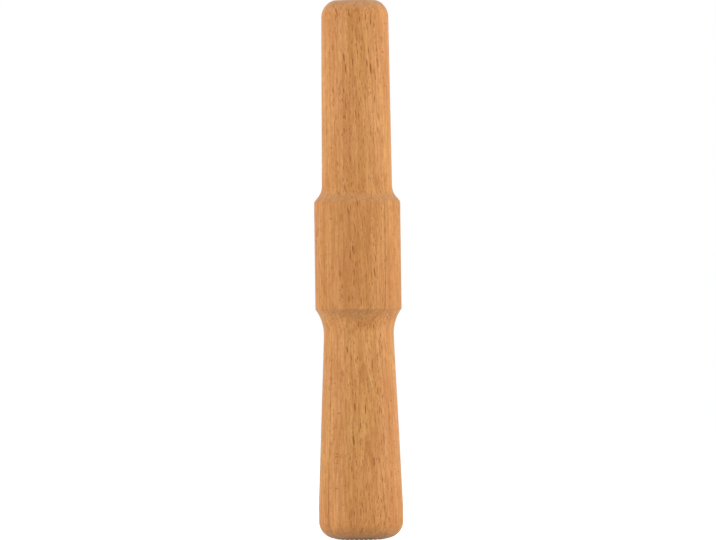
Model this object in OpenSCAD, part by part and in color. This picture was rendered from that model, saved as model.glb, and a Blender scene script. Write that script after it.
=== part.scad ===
// Wooden pounder for pressing vegetables into a jar or crock.
// It is turned from one beech blank, so it is one solid: a handle, a collar and a head that
// widens to a rounded foot. Crossed saw grooves cut the foot into blunt teeth.
// Millimetres. The origin is the middle of the foot, and +Z runs up the axis to the handle's end.

/* [Head] */
// Height of the collar's lower edge above the foot
head_len = 128.4; // [90:0.2:180]
// Diameter at the straight band above the foot, where the head is widest
head_d = 46.9; // [42:0.1:60]
// Length of that straight band
head_band_len = 8; // [2:0.5:30]
// Diameter at the neck, under the collar
neck_d = 38.8; // [30:0.1:43]
// Radius of the cove between the neck and the collar
neck_cove_r = 24; // [12:0.5:40]

/* [Foot] */
// Radius of the flat in the middle of the foot
foot_flat_r = 7; // [4:0.5:9]
// Radius of the shallow crown round the flat
foot_crown_r = 38; // [26:1:80]
// Radius of the rounded corner between the crown and the band
foot_corner_r = 9.6; // [5:0.2:12]

/* [Teeth] */
// Distance from one groove to the next
tooth_pitch = 3.7; // [3:0.1:5]
// Depth of the grooves below the flat of the foot
groove_depth = 1.3; // [0.6:0.1:1.4]
// Angle between the two walls of a groove
groove_angle = 90; // [60:5:90]
// Turn of the grooves away from the X and Y axes
groove_turn = 45; // [0:5:90]

/* [Collar] */
// Diameter of the collar
collar_d = 48; // [46:0.1:60]
// Length of the collar, from its lower edge to its upper edge
collar_len = 59.6; // [30:0.2:90]
// Rounding of the collar's lower edge
collar_low_round = 1.5; // [0.4:0.1:4]
// Rounding of the collar's upper edge
collar_top_round = 2.5; // [0.4:0.1:5]
// Steepness of the shoulder over the collar, measured from the axis
shoulder_angle = 40; // [25:1:55]
// Radius of the cove between the shoulder and the handle
shoulder_cove_r = 10; // [4:0.5:16]

/* [Handle] */
// Length of the handle, from the collar's upper edge to the flat end
handle_len = 112; // [80:0.5:180]
// Diameter of the handle at the collar
handle_root_d = 39.2; // [32:0.1:43]
// Diameter of the handle where its end begins to round
handle_tip_d = 37.3; // [30:0.1:42]
// Radius of the rounded end
tip_round = 10; // [4:0.5:14]
// Height sanded off the rounded end, which leaves its flat
tip_sanded = 0.5; // [0.1:0.1:3]

/* [Hidden] */

$fn = 96;
// Largest turn between two points on a rounded stretch of the outline
ARC_STEP = 5;
// Reach of a cutter past the face that it cuts
CUT_OVER = 1;
BEECH = "burlywood";

head_r = head_d / 2;
neck_r = neck_d / 2;
collar_r = collar_d / 2;
collar_top_z = head_len + collar_len;
total_len = collar_top_z + handle_len;

// Points in the outline are [radius, height].
function unit(angle) = [cos(angle), sin(angle)];
function arc(centre, r, from, to) =
    let (steps = max(1, ceil(abs(to - from) / ARC_STEP)))
    [for (i = [0:steps]) centre + r * unit(from + (to - from) * i / steps)];
// Point where the lines with these normal angles and distances from the origin cross
function crossing(angle_1, reach_1, angle_2, reach_2) =
    [reach_1 * sin(angle_2) - reach_2 * sin(angle_1), reach_2 * cos(angle_1) - reach_1 * cos(angle_2)]
    / sin(angle_2 - angle_1);

// Flat, crown and corner of the foot, up to the straight band
foot_crown_c = [foot_flat_r, foot_crown_r];
foot_corner_in = head_r - foot_corner_r - foot_flat_r;
foot_corner_c = [
    head_r - foot_corner_r,
    foot_crown_r - sqrt(pow(foot_crown_r - foot_corner_r, 2) - pow(foot_corner_in, 2))
];
foot_blend_angle = atan2(foot_corner_c[1] - foot_crown_r, foot_corner_in);
band_top = [head_r, foot_corner_c[1] + head_band_len];

// Cove under the collar, reached by the head's straight taper
neck_c = [
    neck_r + neck_cove_r,
    head_len - sqrt(pow(neck_cove_r, 2) - pow(neck_r + neck_cove_r - collar_r, 2))
];
to_neck = neck_c - band_top;
taper_angle = atan2(to_neck[1], to_neck[0]) + asin(neck_cove_r / norm(to_neck));
low_edge_r = collar_r - collar_low_round;
low_edge_c = [
    low_edge_r,
    neck_c[1] + sqrt(pow(neck_cove_r + collar_low_round, 2) - pow(neck_c[0] - low_edge_r, 2))
];
low_edge_angle = atan2(low_edge_c[1] - neck_c[1], low_edge_c[0] - neck_c[0]);

// Upper edge of the collar, its sloping shoulder and the cove below the handle
top_edge_c = [
    collar_r - collar_top_round,
    collar_top_z - collar_top_round * tan(shoulder_angle / 2)
];
tip_centre_z = total_len - tip_round + tip_sanded;
handle_lean = atan2((handle_root_d - handle_tip_d) / 2, tip_centre_z - collar_top_z);
handle_reach = unit(handle_lean) * [handle_root_d / 2, collar_top_z];
shoulder_reach = unit(shoulder_angle) * [collar_r, collar_top_z];
// The cove and the rounded edge have to fit side by side on the step up to the collar
shoulder_step = collar_r - handle_root_d / 2;
shoulder_cove_fit = min(shoulder_cove_r, shoulder_step / (1 - cos(shoulder_angle)) - collar_top_round);
shoulder_cove_c = crossing(
    handle_lean, handle_reach + shoulder_cove_fit,
    shoulder_angle, shoulder_reach + shoulder_cove_fit
);

// Rounded end of the handle
tip_c = [
    (handle_reach - tip_round - tip_centre_z * sin(handle_lean)) / cos(handle_lean),
    tip_centre_z
];
tip_flat_angle = asin((tip_round - tip_sanded) / tip_round);

// Half outline of the turned blank, from the middle of the foot up to the end of the handle
outline = concat(
    [[0, 0]],
    arc(foot_crown_c, foot_crown_r, -90, foot_blend_angle),
    arc(foot_corner_c, foot_corner_r, foot_blend_angle, 0),
    [band_top],
    arc(neck_c, neck_cove_r, taper_angle + 90, low_edge_angle),
    arc(low_edge_c, collar_low_round, low_edge_angle - 180, 0),
    arc(top_edge_c, collar_top_round, 0, shoulder_angle),
    arc(shoulder_cove_c, shoulder_cove_fit, shoulder_angle + 180, handle_lean + 180),
    arc(tip_c, tip_round, handle_lean, tip_flat_angle),
    [[0, total_len]]
);

// The grooves go out to where the crown has risen past half of their depth
groove_reach = foot_flat_r + sqrt(pow(foot_crown_r, 2) - pow(foot_crown_r - groove_depth / 2, 2));
grooves_each_side = floor(groove_reach / tooth_pitch + 0.5);

// One straight V groove along X, cut up into the foot from below
module groove() {
    half_w = (groove_depth + CUT_OVER) * tan(groove_angle / 2);
    rotate([90, 0, 90])
        linear_extrude(height = head_d + 2 * CUT_OVER, center = true)
            polygon([[-half_w, -CUT_OVER], [half_w, -CUT_OVER], [0, groove_depth]]);
}

// A set of parallel grooves with a tooth row over the axis
module groove_set() {
    for (side = [-1, 1], i = [1:grooves_each_side])
        translate([0, side * (i - 0.5) * tooth_pitch, 0])
            groove();
}

module turned_pounder() {
    color(BEECH)
        difference() {
            rotate_extrude()
                polygon(outline);
            for (turn = [groove_turn, groove_turn + 90])
                rotate([0, 0, turn])
                    groove_set();
        }
}

turned_pounder();
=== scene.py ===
"""A wooden pounder turned from one blank of beech, standing on a pale studio floor."""

import math

import bpy
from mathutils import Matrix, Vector, noise


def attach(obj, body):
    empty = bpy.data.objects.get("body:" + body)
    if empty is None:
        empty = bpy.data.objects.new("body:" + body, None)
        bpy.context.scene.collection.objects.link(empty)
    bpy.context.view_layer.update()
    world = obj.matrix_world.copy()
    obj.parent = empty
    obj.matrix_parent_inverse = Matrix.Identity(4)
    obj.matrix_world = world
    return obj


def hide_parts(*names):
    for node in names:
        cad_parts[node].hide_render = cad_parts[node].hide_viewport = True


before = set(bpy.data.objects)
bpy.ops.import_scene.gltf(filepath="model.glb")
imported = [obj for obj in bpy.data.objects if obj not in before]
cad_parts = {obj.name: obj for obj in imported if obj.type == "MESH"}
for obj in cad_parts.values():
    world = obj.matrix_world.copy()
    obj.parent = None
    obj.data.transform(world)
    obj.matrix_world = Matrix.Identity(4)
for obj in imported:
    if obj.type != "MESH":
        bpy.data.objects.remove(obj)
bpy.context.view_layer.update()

MM = 0.001

# Sizes of the turned blank in millimetres, as in the part's source. The collar's radius and the
# handle's length are a hair smaller, so that this skin stays inside the solid.
HEAD_LEN = 128.4
HEAD_R = 23.45
HEAD_BAND_LEN = 8
NECK_R = 19.4
NECK_COVE_R = 24
FOOT_FLAT_R = 7
FOOT_CROWN_R = 38
FOOT_CORNER_R = 9.6
COLLAR_R = 23.96
COLLAR_LEN = 59.6
COLLAR_LOW_ROUND = 1.5
COLLAR_TOP_ROUND = 2.5
SHOULDER_ANGLE = 40
SHOULDER_COVE_R = 10
HANDLE_LEN = 111.99
HANDLE_ROOT_R = 19.6
HANDLE_TIP_R = 18.65
TIP_ROUND = 10
TIP_SANDED = 0.5

# Teeth of the foot in millimetres
TOOTH_PITCH = 3.7
GROOVE_DEPTH = 1.3
GROOVE_HALF_W = 1.3
GROOVE_TURN = math.radians(45)
GROOVES_EACH_SIDE = 4
EDGE_WEAR = 0.16
GROOVE_ROUGHNESS = 0.05

# The toothed disc is modelled first, and the rest of the blank grows out of its rim
DISC_R = 17.6
DISC_SIDES = 96
ARC_STEP = 4

COLLAR_TOP_Z = HEAD_LEN + COLLAR_LEN
TOTAL_LEN = COLLAR_TOP_Z + HANDLE_LEN


def unit(angle):
    """Direction of an angle in degrees."""
    return Vector((math.cos(math.radians(angle)), math.sin(math.radians(angle))))


def arc(centre, radius, start, end):
    """Points of an arc between two angles in degrees."""
    steps = max(1, math.ceil(abs(end - start) / ARC_STEP))
    return [centre + radius * unit(start + (end - start) * i / steps) for i in range(steps + 1)]


def angle_of(vector):
    """Angle of a direction, in degrees."""
    return math.degrees(math.atan2(vector.y, vector.x))


def crossing(angle_1, reach_1, angle_2, reach_2):
    """Point where two lines cross, each given by its normal's angle and its distance from the origin."""
    one, two = unit(angle_1), unit(angle_2)
    across = math.sin(math.radians(angle_2 - angle_1))
    return Vector((reach_1 * two.y - reach_2 * one.y, reach_2 * one.x - reach_1 * two.x)) / across


def foot_circles():
    """Centres of the foot's crown and of its rounded corner, as (radius, height)."""
    inward = HEAD_R - FOOT_CORNER_R - FOOT_FLAT_R
    drop = math.sqrt((FOOT_CROWN_R - FOOT_CORNER_R) ** 2 - inward**2)
    crown = Vector((FOOT_FLAT_R, FOOT_CROWN_R))
    return crown, Vector((HEAD_R - FOOT_CORNER_R, FOOT_CROWN_R - drop))


def turned_outline():
    """Outline of the blank above the toothed disc, as (radius, height) in millimetres."""
    crown, corner = foot_circles()
    disc_angle = -math.degrees(math.acos((DISC_R - corner.x) / FOOT_CORNER_R))
    band_top = Vector((HEAD_R, corner.y + HEAD_BAND_LEN))

    neck_in = NECK_R + NECK_COVE_R - COLLAR_R
    neck = Vector((NECK_R + NECK_COVE_R, HEAD_LEN - math.sqrt(NECK_COVE_R**2 - neck_in**2)))
    to_neck = neck - band_top
    taper_angle = angle_of(to_neck) + math.degrees(math.asin(NECK_COVE_R / to_neck.length))
    low_rise = math.sqrt((NECK_COVE_R + COLLAR_LOW_ROUND) ** 2 - (neck_in + COLLAR_LOW_ROUND) ** 2)
    low_edge = Vector((COLLAR_R - COLLAR_LOW_ROUND, neck.y + low_rise))
    low_angle = angle_of(low_edge - neck)

    top_drop = COLLAR_TOP_ROUND * math.tan(math.radians(SHOULDER_ANGLE / 2))
    top_edge = Vector((COLLAR_R - COLLAR_TOP_ROUND, COLLAR_TOP_Z - top_drop))
    tip_z = TOTAL_LEN - TIP_ROUND + TIP_SANDED
    lean = angle_of(Vector((tip_z - COLLAR_TOP_Z, HANDLE_ROOT_R - HANDLE_TIP_R)))
    handle_reach = unit(lean).dot(Vector((HANDLE_ROOT_R, COLLAR_TOP_Z)))
    shoulder_reach = unit(SHOULDER_ANGLE).dot(Vector((COLLAR_R, COLLAR_TOP_Z)))
    cove = crossing(
        lean, handle_reach + SHOULDER_COVE_R, SHOULDER_ANGLE, shoulder_reach + SHOULDER_COVE_R
    )
    tip_r = (handle_reach - TIP_ROUND - tip_z * unit(lean).y) / unit(lean).x
    flat_angle = math.degrees(math.asin((TIP_ROUND - TIP_SANDED) / TIP_ROUND))

    return [
        *arc(corner, FOOT_CORNER_R, disc_angle, 0),
        band_top,
        *arc(neck, NECK_COVE_R, taper_angle + 90, low_angle),
        *arc(low_edge, COLLAR_LOW_ROUND, low_angle - 180, 0),
        *arc(top_edge, COLLAR_TOP_ROUND, 0, SHOULDER_ANGLE),
        *arc(cove, SHOULDER_COVE_R, SHOULDER_ANGLE + 180, lean + 180),
        *arc(Vector((tip_r, tip_z)), TIP_ROUND, lean, flat_angle),
    ]


def smooth_max(a, b, width):
    """The larger of two heights, blended where they come within a width of each other."""
    near = max(width - abs(a - b), 0) / width
    return max(a, b) + near * near * width / 4


def plain_foot_height(radius):
    """Height of the foot before the grooves are cut: flat, crown, then corner."""
    crown, corner = foot_circles()
    if radius <= FOOT_FLAT_R:
        return 0
    blend_r = corner.x + (corner - crown).normalized().x * FOOT_CORNER_R
    centre, r = (crown, FOOT_CROWN_R) if radius < blend_r else (corner, FOOT_CORNER_R)
    return centre.y - math.sqrt(max(r * r - (radius - centre.x) ** 2, 0))


def groove_height(across):
    """Height of the V groove nearest to a place across the grooves; below zero on the land."""
    number = min(max(round(abs(across) / TOOTH_PITCH + 0.5), 1), GROOVES_EACH_SIDE)
    off = abs(abs(across) - (number - 0.5) * TOOTH_PITCH)
    rounded = math.hypot(off, EDGE_WEAR) - EDGE_WEAR / 2
    return GROOVE_DEPTH * (1 - rounded / GROOVE_HALF_W)


def foot_point(u, v):
    """A point of the toothed disc, from its places across the two sets of grooves."""
    x = u * math.cos(GROOVE_TURN) - v * math.sin(GROOVE_TURN)
    y = u * math.sin(GROOVE_TURN) + v * math.cos(GROOVE_TURN)
    cut = smooth_max(groove_height(u), groove_height(v), EDGE_WEAR)
    if cut > 0:
        cut += GROOVE_ROUGHNESS * noise.noise(Vector((x, y, 0)))
    return Vector((x, y, smooth_max(cut, plain_foot_height(math.hypot(x, y)), EDGE_WEAR)))


def grid_lines():
    """Places of the disc's grid lines: close together at each groove's edges and bottom."""
    across_groove = [-1.15, -1, -0.85, -0.5, -0.15, 0, 0.15, 0.5, 0.85, 1, 1.15]
    lines = [0.0]
    for number in range(1, GROOVES_EACH_SIDE + 1):
        centre = (number - 0.5) * TOOTH_PITCH
        lines += [centre + GROOVE_HALF_W * place for place in across_groove]
        lines.append(number * TOOTH_PITCH)
    rim_steps = 7
    last, edge = lines[-1], DISC_R * 1.02
    lines += [last + (edge - last) * i / rim_steps for i in range(1, rim_steps + 1)]
    return [-place for place in reversed(lines[1:])] + lines


def toothed_disc():
    """The foot's underside: a grid laid along the grooves, trimmed round."""
    lines = grid_lines()
    cells = len(lines) - 1
    bpy.ops.mesh.primitive_grid_add(x_subdivisions=cells, y_subdivisions=cells, size=cells)
    disc = bpy.context.object
    for vertex in disc.data.vertices:
        column = round(vertex.co.x + cells / 2)
        row = round(vertex.co.y + cells / 2)
        vertex.co = foot_point(lines[column], lines[row]) * MM

    bpy.ops.object.mode_set(mode="EDIT")
    for side in range(DISC_SIDES):
        outward = unit(360 * side / DISC_SIDES)
        normal = (outward.x, outward.y, 0)
        bpy.ops.mesh.select_all(action="SELECT")
        bpy.ops.mesh.bisect(
            plane_co=Vector(normal) * DISC_R * MM, plane_no=normal, clear_outer=True
        )
    bpy.ops.object.mode_set(mode="OBJECT")
    return disc


def draw_out(radius, last_radius, rise):
    """Extrudes the selected ring upwards and scales it to a new radius."""
    bpy.ops.mesh.extrude_region_move(TRANSFORM_OT_translate={"value": (0, 0, rise * MM)})
    factor = radius / last_radius
    bpy.ops.transform.resize(value=(factor, factor, 1), center_override=(0, 0, 0))


def turned_pounder():
    """The whole pounder: the toothed disc with the turned outline drawn up from its rim."""
    pounder = toothed_disc()
    pounder.name = "beech_pounder"
    outline = turned_outline()

    bpy.ops.object.mode_set(mode="EDIT")
    bpy.ops.mesh.select_mode(type="VERT")
    bpy.ops.mesh.select_all(action="SELECT")
    bpy.ops.mesh.remove_doubles(threshold=0.01 * MM)
    bpy.ops.mesh.select_all(action="DESELECT")
    bpy.ops.mesh.select_non_manifold(extend=False)
    bpy.ops.object.mode_set(mode="OBJECT")
    for vertex in pounder.data.vertices:
        if vertex.select:
            rim = vertex.co.xy.normalized() * outline[0].x
            vertex.co = Vector((rim.x, rim.y, outline[0].y)) * MM
    bpy.ops.object.mode_set(mode="EDIT")
    bpy.ops.mesh.select_mode(type="EDGE")
    for below, above in zip(outline, outline[1:]):
        if (above - below).length > 0.001:
            draw_out(above.x, below.x, above.y - below.y)
    tip_flat_r = outline[-1].x
    draw_out(tip_flat_r / 2, tip_flat_r, 0)
    bpy.ops.mesh.extrude_region_move()
    bpy.ops.mesh.merge(type="CENTER")
    bpy.ops.mesh.select_all(action="SELECT")
    bpy.ops.mesh.normals_make_consistent(inside=False)
    bpy.ops.object.mode_set(mode="OBJECT")
    bpy.ops.object.shade_smooth_by_angle(angle=math.radians(40))
    return pounder


def linear(hex_colour):
    """An sRGB hex colour as linear red, green, blue and alpha."""
    parts = [int(hex_colour[i : i + 2], 16) / 255 for i in (1, 3, 5)]
    return (*[c / 12.92 if c <= 0.04045 else ((c + 0.055) / 1.055) ** 2.4 for c in parts], 1)


def add(tree, kind, inputs=(), **settings):
    """Adds a node, sets it, and fills its inputs with values, or with links from sockets or nodes."""
    node = tree.nodes.new("ShaderNode" + kind)
    for name, value in settings.items():
        setattr(node, name, value)
    for name, value in dict(inputs).items():
        if isinstance(value, bpy.types.Node):
            value = next(socket for socket in value.outputs if socket.enabled)
        if isinstance(value, bpy.types.NodeSocket):
            tree.links.new(value, node.inputs[name])
        else:
            node.inputs[name].default_value = value
    return node


def new_material(name):
    """An empty node material."""
    material = bpy.data.materials.new(name)
    material.use_nodes = True
    material.node_tree.nodes.clear()
    return material


# Beech as it grew, in millimetres: the pith of the log runs in front of the blank and leans across it.
# So the front cuts across the rays and shows them as dashes, and at both sides they lie in the surface.
PITH_FORWARD = 34
PITH_SIDE = 11
GRAIN_TILT = math.radians(2.3)
GRAIN_WANDER = 5
WANDER_ACROSS = 70
WANDER_ALONG = 120
RING_WIDTH = 2.6
RED_HEIGHT = 162


def wood_space(tree):
    """Places in the log in millimetres, its pith along Z, and the way and distance out from the pith."""
    place = add(tree, "TexCoord").outputs["Object"]
    in_mm = add(tree, "VectorMath", {0: place, 1: (1000, 1000, 1000)}, operation="MULTIPLY")
    per_mm = (1 / WANDER_ACROSS, 1 / WANDER_ACROSS, 1 / WANDER_ALONG)
    slowly = add(tree, "VectorMath", {0: in_mm, 1: per_mm}, operation="MULTIPLY")
    drift = add(tree, "TexNoise", {"Vector": slowly, "Scale": 1, "Detail": 1}).outputs["Color"]
    centred = add(tree, "VectorMath", {0: drift, 1: (0.5, 0.5, 0.5)}, operation="SUBTRACT")
    wander = (GRAIN_WANDER, GRAIN_WANDER, 0)
    wandering = add(tree, "VectorMath", {0: centred, 1: wander, 2: in_mm}, operation="MULTIPLY_ADD")
    tilt = (0, GRAIN_TILT, 0)
    pith = (-PITH_SIDE, PITH_FORWARD, 0)
    log = add(tree, "Mapping", {"Vector": wandering, "Rotation": tilt, "Location": pith})
    from_pith = add(tree, "VectorMath", {0: log, 1: (1, 1, 0)}, operation="MULTIPLY")
    outward = add(tree, "VectorMath", {0: from_pith}, operation="NORMALIZE")
    out = add(tree, "VectorMath", {0: from_pith}, operation="LENGTH").outputs["Value"]
    return log, outward, out


def streaks(tree, log, across, along, detail, low, high):
    """Noise drawn out along the grain, from 0 to 1 between two levels; its size across and along in mm."""
    per_mm = (1 / across, 1 / across, 1 / along)
    scaled = add(tree, "VectorMath", {0: log, 1: per_mm}, operation="MULTIPLY")
    cloud = add(tree, "TexNoise", {"Vector": scaled, "Scale": 1, "Detail": detail, "Roughness": 0.6})
    return add(tree, "MapRange", {0: cloud, 1: low, 2: high}, interpolation_type="SMOOTHSTEP")


def rays(tree, log, outward, across, along, half):
    """Lens-shaped rays, one to each cell of the log; half sizes in mm outward, round the pith and along."""
    cell = (across, across, along)
    scaled = add(tree, "VectorMath", {0: log, 1: tuple(1 / c for c in cell)}, operation="MULTIPLY")
    seeds = add(tree, "TexVoronoi", {"Vector": scaled, "Scale": 1}).outputs
    apart = add(tree, "VectorMath", {0: scaled, 1: seeds["Position"]}, operation="SUBTRACT")
    off = add(tree, "VectorMath", {0: apart, 1: cell}, operation="MULTIPLY")
    sideways = add(tree, "VectorMath", {0: outward, 1: (0, 0, 1)}, operation="CROSS_PRODUCT")
    ways = (outward, sideways, (0, 0, 1))
    parts = [
        add(tree, "VectorMath", {0: off, 1: way}, operation="DOT_PRODUCT").outputs["Value"]
        for way in ways
    ]
    in_lens = add(tree, "CombineXYZ", dict(enumerate(parts)))
    lens = add(tree, "VectorMath", {0: in_lens, 1: tuple(1 / h for h in half)}, operation="MULTIPLY")
    depth = add(tree, "VectorMath", {0: lens}, operation="LENGTH").outputs["Value"]
    own = add(tree, "SeparateColor", {0: seeds["Color"]}).outputs
    size = add(tree, "MapRange", {0: own[0], 3: 0.55, 4: 1.25})
    reach = add(tree, "Math", {0: depth, 1: size}, operation="DIVIDE")
    inside = add(tree, "MapRange", {0: reach, 1: 0.6, 2: 1.1, 3: 1, 4: 0}, interpolation_type="SMOOTHSTEP")
    strength = add(tree, "MapRange", {0: own[1], 3: 0.2, 4: 1})
    return add(tree, "Math", {0: inside, 1: strength}, operation="MULTIPLY")


def beech_material():
    """Beech, turned, sanded and lightly oiled: warm tan, thick with brown ray dashes, nearly matt."""
    material = new_material("sanded_beech")
    tree = material.node_tree
    log, outward, out = wood_space(tree)
    normal = add(tree, "TexCoord").outputs["Normal"]

    # Year rings: pale spring wood ends in a thin brown line, and the years differ in width
    uneven = streaks(tree, log, 20, 160, 1, 0.2, 0.8)
    years = add(tree, "Math", {0: out, 1: 1 / RING_WIDTH}, operation="MULTIPLY")
    shifted = add(tree, "Math", {0: uneven, 1: 1.5, 2: years}, operation="MULTIPLY_ADD")
    season = add(tree, "Math", {0: shifted}, operation="FRACT")
    late_wood = add(tree, "Math", {0: season, 1: 4}, operation="POWER")

    patches = streaks(tree, log, 16, 70, 2, 0.35, 0.65)
    bands = streaks(tree, log, 3.4, 45, 1, 0.3, 0.7)
    fibres = streaks(tree, log, 0.85, 7, 2, 0.35, 0.72)
    # Pores are 0.06 mm wide, drawn here four times as wide so that they show
    pores = streaks(tree, log, 0.26, 1.8, 2, 0.52, 0.7)

    # The wood is a little redder halfway up the blank
    height = add(tree, "SeparateXYZ", {0: log}).outputs["Z"]
    from_middle = add(tree, "Math", {0: height, 1: RED_HEIGHT}, operation="SUBTRACT")
    distance = add(tree, "Math", {0: from_middle}, operation="ABSOLUTE")
    redder = add(tree, "MapRange", {0: distance, 1: 20, 2: 50, 3: 1, 4: 0}, interpolation_type="SMOOTHSTEP")

    # Rays are thin brown ribbons that run out from the pith, drawn here twice as wide as they are.
    # They are dark dashes where the surface cuts across them, and short red bars where they lie in it.
    small_rays = rays(tree, log, outward, 1.6, 3.6, half=(0.9, 0.22, 1))
    middle_rays = rays(tree, log, outward, 2.1, 5.6, half=(1.2, 0.27, 2))
    large_rays = rays(tree, log, outward, 4.4, 11, half=(3, 0.31, 3))
    bars = rays(tree, log, outward, 3.2, 3, half=(1.4, 0.6, 0.5))
    cut_across = add(tree, "VectorMath", {0: normal, 1: outward}, operation="DOT_PRODUCT").outputs["Value"]
    facing = add(tree, "Math", {0: cut_across}, operation="ABSOLUTE")
    dashed = add(tree, "MapRange", {0: facing, 1: 0.1, 2: 0.6, 3: 0.25, 4: 1})
    barred = add(tree, "MapRange", {0: facing, 1: 0.1, 2: 0.45, 3: 0.6, 4: 0})
    tracks = streaks(tree, log, 2.6, 50, 1, 0.35, 0.62)
    in_track = add(tree, "MapRange", {0: tracks, 3: 0.5, 4: 1})
    tracked = add(tree, "Math", {0: in_track, 1: dashed}, operation="MULTIPLY")
    colour = add(
        tree, "Mix", {0: patches, 6: linear("#E9AC67"), 7: linear("#E7A567")}, data_type="RGBA"
    )
    for mask, strength, hue in (
        (redder, 0.22, "#C87E42"),
        (bands, 0.38, "#BF783B"),
        (late_wood, 0.32, "#A8602C"),
        (fibres, 0.42, "#B26A2F"),
        (pores, 0.3, "#8E5A2C"),
        (small_rays, tracked, "#A45E20"),
        (middle_rays, tracked, "#9C561A"),
        (large_rays, dashed, "#92501A"),
        (bars, barred, "#AC5C30"),
    ):
        weight = add(tree, "Math", {0: mask, 1: strength}, operation="MULTIPLY")
        colour = add(tree, "Mix", {0: weight, 6: colour, 7: linear(hue)}, data_type="RGBA")

    # Faces turned up or down are mixed towards a duller, greyer tone: partly real end grain, partly a
    # painted sheen of the light from above
    upward = add(tree, "SeparateXYZ", {0: normal}).outputs["Z"]
    upright = add(tree, "Math", {0: upward}, operation="ABSOLUTE")
    end_grain_and_painted_sheen = add(tree, "MapRange", {0: upright, 1: 0.3, 2: 1, 4: 0.65})
    # The mix colour stands for duller end grain and for a painted sheen
    dulled_and_painted_sheen = {0: end_grain_and_painted_sheen, 6: colour, 7: linear("#BC946E")}
    colour = add(tree, "Mix", dulled_and_painted_sheen, data_type="RGBA")

    # Pores and rays lie a few hundredths of a millimetre below the sanded surface, fibres stand proud
    relief = add(tree, "Math", {0: pores, 1: -0.6, 2: fibres}, operation="MULTIPLY_ADD")
    relief = add(tree, "Math", {0: large_rays, 1: -0.5, 2: relief}, operation="MULTIPLY_ADD")
    bump = add(tree, "Bump", {"Height": relief, "Strength": 0.35, "Distance": 0.05 * MM})
    dullness = add(tree, "MapRange", {0: bands, 3: 0.6, 4: 0.7})
    shader = add(
        tree,
        "BsdfPrincipled",
        {
            "Base Color": colour,
            "Roughness": dullness,
            "Normal": bump,
            "IOR": 1.5,
            "Specular IOR Level": 0.25,
            "Sheen Weight": 0.25,
            "Sheen Roughness": 0.3,
        },
    )
    add(tree, "OutputMaterial", {"Surface": shader})
    return material


def seen_directly(tree):
    """One for rays from the camera or from a glossy or clear surface, which see the backdrop white."""
    path = add(tree, "LightPath").outputs
    seen = {0: path["Is Camera Ray"], 1: path["Is Glossy Ray"]}
    either = add(tree, "Math", seen, operation="MAXIMUM")
    return add(tree, "Math", {0: either, 1: path["Is Transmission Ray"]}, operation="MAXIMUM")


FLOOR_COLOUR = "#DADAD8"
FLOOR_GLOW = 0.8


def floor_material():
    """Matt white paper: it glows a little to the camera, so that it stays white and keeps the shadow."""
    material = new_material("white_paper")
    tree = material.node_tree
    paper = add(tree, "BsdfDiffuse", {"Color": linear(FLOOR_COLOUR)})
    glow = add(tree, "Math", {0: seen_directly(tree), 1: FLOOR_GLOW}, operation="MULTIPLY")
    light = add(tree, "Emission", {"Strength": glow})
    both = add(tree, "AddShader", {0: paper, 1: light})
    add(tree, "OutputMaterial", {"Surface": both})
    return material


def studio_floor():
    """A round sheet of white paper under the foot."""
    bpy.ops.object.select_all(action="DESELECT")
    bpy.ops.mesh.primitive_circle_add(vertices=96, radius=3, fill_type="NGON")
    floor = bpy.context.object
    floor.name = "paper_floor"
    floor.data.materials.append(floor_material())


ROOM_LIGHT = 0.34


def white_room():
    """A pale room all round, pure white where the camera sees it."""
    world = bpy.data.worlds.new("white_room")
    bpy.context.scene.world = world
    world.use_nodes = True
    tree = world.node_tree
    tree.nodes.clear()
    strength = add(tree, "MapRange", {0: seen_directly(tree), 3: ROOM_LIGHT, 4: 1})
    sky = add(tree, "Background", {"Color": (1, 1, 1, 1), "Strength": strength})
    add(tree, "OutputWorld", {"Surface": sky})


def softbox(name, place, target, width, height, power):
    """A soft lamp at a place, facing a target."""
    bpy.ops.object.light_add(type="AREA", location=place)
    lamp = bpy.context.object
    lamp.name = name
    lamp.data.shape = "RECTANGLE"
    lamp.data.size = width
    lamp.data.size_y = height
    lamp.data.energy = power
    lamp.rotation_euler = (Vector(target) - Vector(place)).to_track_quat("-Z", "Y").to_euler()


# The photograph is 716 by 540 pixels, and the pounder's axis leans a little in it
PHOTO_SIZE = (716, 540)
PHOTO_MM_PER_PIXEL = 0.556
PHOTO_LEAN = math.radians(0.73)
CAMERA_DISTANCE = 5.0
SENSOR_WIDTH = 36


def photo_camera():
    """A long lens level with the middle of the pounder, which fills the frame's height."""
    bpy.ops.object.camera_add(
        location=(0, -CAMERA_DISTANCE, TOTAL_LEN / 2 * MM),
        rotation=(math.radians(90), PHOTO_LEAN, 0),
    )
    camera = bpy.context.object
    camera.name = "photo_camera"
    camera.data.sensor_width = SENSOR_WIDTH
    frame_width = PHOTO_SIZE[0] * PHOTO_MM_PER_PIXEL * MM
    camera.data.lens = SENSOR_WIDTH * CAMERA_DISTANCE / frame_width
    camera.data.clip_end = 50
    bpy.context.scene.camera = camera


photo_camera()
bpy.context.scene.view_settings.view_transform = "Standard"

bpy.ops.object.select_all(action="DESELECT")
pounder = turned_pounder()
pounder.data.materials.append(beech_material())
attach(pounder, "root")
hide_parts("turned_pounder")

studio_floor()
white_room()
TARGET = (0, 0, TOTAL_LEN / 2 * MM)
softbox("left_softbox", (-1.6, -0.6, 0.6), TARGET, 1.2, 1.6, 22.5)
softbox("right_softbox", (1.6, -0.6, 0.6), TARGET, 1.2, 1.6, 24.5)
softbox("top_softbox", (0, 0.3, 1.9), TARGET, 1.6, 1.6, 4)
